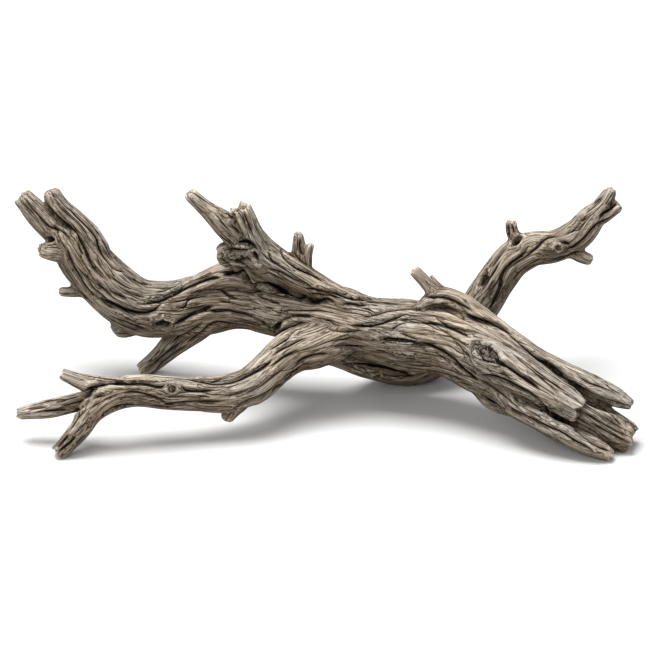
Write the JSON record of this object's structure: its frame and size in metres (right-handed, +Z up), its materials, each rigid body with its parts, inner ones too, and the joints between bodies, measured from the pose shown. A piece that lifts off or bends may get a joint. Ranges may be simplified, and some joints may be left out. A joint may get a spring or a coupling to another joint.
{
  "type": "driftwood piece",
  "caption": "Free-standing piece of weathered driftwood: a stout split trunk with forked limbs, snapped stubs, knots and deep grain furrows.",
  "frame": {"origin": "under the middle of the piece, on the plane of its feet", "axes": "+X along the piece to its split end, +Y to the rear limb's side, +Z up"},
  "size_m": [0.6377, 0.2378, 0.2361],
  "materials": {
    "weathered_wood": "dry, grey-brown, weathered, not finished"
  },
  "bodies": {
    "root": {"driftwood": "weathered_wood"}
  },
  "joints": []
}
